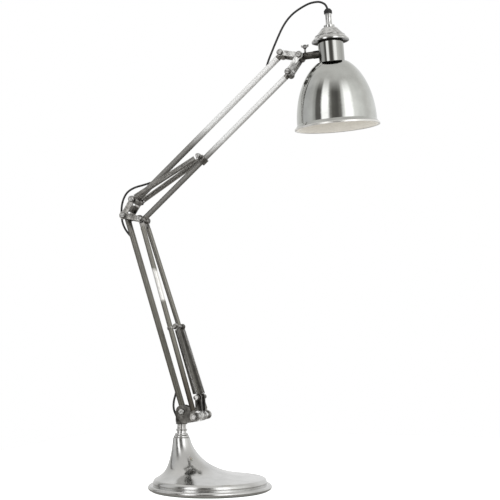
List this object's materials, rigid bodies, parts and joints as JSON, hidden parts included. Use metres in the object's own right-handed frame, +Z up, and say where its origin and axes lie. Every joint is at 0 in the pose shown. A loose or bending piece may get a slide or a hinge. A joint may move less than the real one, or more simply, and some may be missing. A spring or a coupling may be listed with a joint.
{
  "type": "table lamp",
  "caption": "Spring-balanced desk lamp: weighted round foot, two parallel-linkage arms joined at a cast elbow, and a bell shade that tilts and rolls on a clamped rod.",
  "frame": {"origin": "where the swivel axis meets the table, under the lamp's neck", "axes": "+Z up along the swivel axis, +X from the swivel axis towards the shade, every arm pin along Y"},
  "size_m": [0.533, 0.2416, 0.9515],
  "materials": {
    "polished_nickel": "polished",
    "spun_nickel": "polished plating on a spun shell",
    "weight_iron": "as cast",
    "plate_steel": "zinc plated",
    "felt": "felt",
    "black_rubber": "matte",
    "bush_brass": "turned",
    "turned_steel": "turned and plated",
    "cast_bracket": "sand cast, antique plated",
    "tube_nickel": "polished nickel plate",
    "fastener_steel": "aged plating",
    "spring_steel": "dark wound wire",
    "holder_black": "moulded",
    "bulb_glass": "frosted"
  },
  "bodies": {
    "base": {"base_shell": "polished_nickel", "base_weight": "weight_iron", "base_plate": "plate_steel", "base_felt": "felt", "plate_screws": "plate_steel", "neck_collar": "polished_nickel", "swivel_bush": "bush_brass", "cord_outlet_bush": "black_rubber"},
    "turret": {"turret_spindle": "turned_steel", "spindle_nut": "turned_steel", "turret_yoke": "cast_bracket", "yoke_bolt": "fastener_steel", "yoke_nuts": "fastener_steel", "link_axle": "turned_steel", "axle_sleeves": "turned_steel", "spring_anchor_pin": "turned_steel", "cord_base_loop": "black_rubber"},
    "lower_arm": {"lower_tube": "tube_nickel", "lower_tube_foot": "cast_bracket", "lower_tube_head": "cast_bracket", "cord_elbow_lower": "black_rubber"},
    "lower_link": {"link_front_tube": "tube_nickel", "link_rear_tube": "tube_nickel", "link_foot_eyes": "cast_bracket", "link_head_eyes": "cast_bracket", "spring_cross_bar": "fastener_steel", "lower_spring_front": "spring_steel", "lower_spring_rear": "spring_steel"},
    "elbow": {"elbow_bracket": "cast_bracket", "elbow_bolts": "fastener_steel", "elbow_nuts": "fastener_steel"},
    "upper_arm": {"upper_tube": "tube_nickel", "upper_tube_foot": "cast_bracket", "upper_tube_head": "cast_bracket", "cord_elbow_upper": "black_rubber", "cord_head_lower": "black_rubber"},
    "upper_link": {"upper_link_tube": "tube_nickel", "upper_link_foot": "cast_bracket", "upper_link_head": "cast_bracket", "spring_clamp": "fastener_steel", "clamp_bolt": "fastener_steel", "upper_spring_front": "spring_steel", "upper_spring_rear": "spring_steel"},
    "head_carrier": {"head_bracket": "cast_bracket", "head_bolts": "fastener_steel", "head_nuts": "fastener_steel", "cord_head_middle": "black_rubber"},
    "knuckle": {"head_knuckle": "cast_bracket"},
    "clamp_screw": {"thumb_screw": "fastener_steel"},
    "head": {"head_rod": "turned_steel", "shade_neck": "spun_nickel", "shade_dome": "spun_nickel", "shade_cap": "spun_nickel", "cap_ferrule": "spun_nickel", "cord_gland": "black_rubber", "lampholder": "holder_black", "shade_ring": "holder_black", "bulb": "bulb_glass", "cord_head_upper": "black_rubber"}
  },
  "joints": [
    {"name": "base_swivel", "type": "hinge", "parent": "base", "child": "turret", "pos_m": [0, 0, 0.0975], "axis": [0, 0, 1], "range_deg": [-170, 170]},
    {"name": "lower_arm_pivot", "type": "hinge", "parent": "turret", "child": "lower_arm", "pos_m": [0.004, 0, 0.149], "axis": [0, 1, 0], "range_deg": [-25, 50], "deforming": ["cord_base_loop"]},
    {"name": "lower_link_pivot", "type": "hinge", "parent": "turret", "child": "lower_link", "pos_m": [0.04, 0, 0.1405], "axis": [0, 1, 0], "range_deg": [-25, 50], "deforming": ["lower_spring_front", "lower_spring_rear"]},
    {"name": "elbow_pivot", "type": "hinge", "parent": "lower_arm", "child": "elbow", "pos_m": [-0.12232, 0, 0.5401], "axis": [0, 1, 0], "range_deg": [-50, 25], "deforming": ["cord_elbow_lower"]},
    {"name": "upper_arm_pivot", "type": "hinge", "parent": "elbow", "child": "upper_arm", "pos_m": [-0.10232, 0, 0.57161], "axis": [0, 1, 0], "range_deg": [-25, 60], "deforming": ["cord_elbow_upper"]},
    {"name": "upper_link_pivot", "type": "hinge", "parent": "elbow", "child": "upper_link", "pos_m": [-0.08632, 0, 0.5316], "axis": [0, 1, 0], "range_deg": [-25, 60], "deforming": ["upper_spring_front", "upper_spring_rear"]},
    {"name": "head_carrier_pivot", "type": "hinge", "parent": "upper_arm", "child": "head_carrier", "pos_m": [0.20536, 0, 0.85158], "axis": [0, 1, 0], "range_deg": [-60, 25], "deforming": ["cord_head_lower"]},
    {"name": "head_tilt", "type": "hinge", "parent": "head_carrier", "child": "knuckle", "pos_m": [0.24336, 0, 0.84358], "axis": [0, 1, 0], "range_deg": [-65, 15], "deforming": ["cord_head_middle"]},
    {"name": "head_roll", "type": "hinge", "parent": "knuckle", "child": "head", "pos_m": [0.24336, 0, 0.84358], "axis": [0.9987, 0, 0.0506], "range_deg": [-50, 50], "deforming": ["cord_head_upper"]},
    {"name": "thumb_screw_turn", "type": "hinge", "parent": "knuckle", "child": "clamp_screw", "pos_m": [0.25335, 0, 0.84408], "axis": [-0.0506, 0, 0.9987], "range_deg": [-180, 180]}
  ],
  "couplings": [
    {"joint": "lower_link_pivot", "follows": "lower_arm_pivot", "ratio": 1},
    {"joint": "elbow_pivot", "follows": "lower_arm_pivot", "ratio": -1},
    {"joint": "upper_link_pivot", "follows": "upper_arm_pivot", "ratio": 1},
    {"joint": "head_carrier_pivot", "follows": "upper_arm_pivot", "ratio": -1}
  ]
}
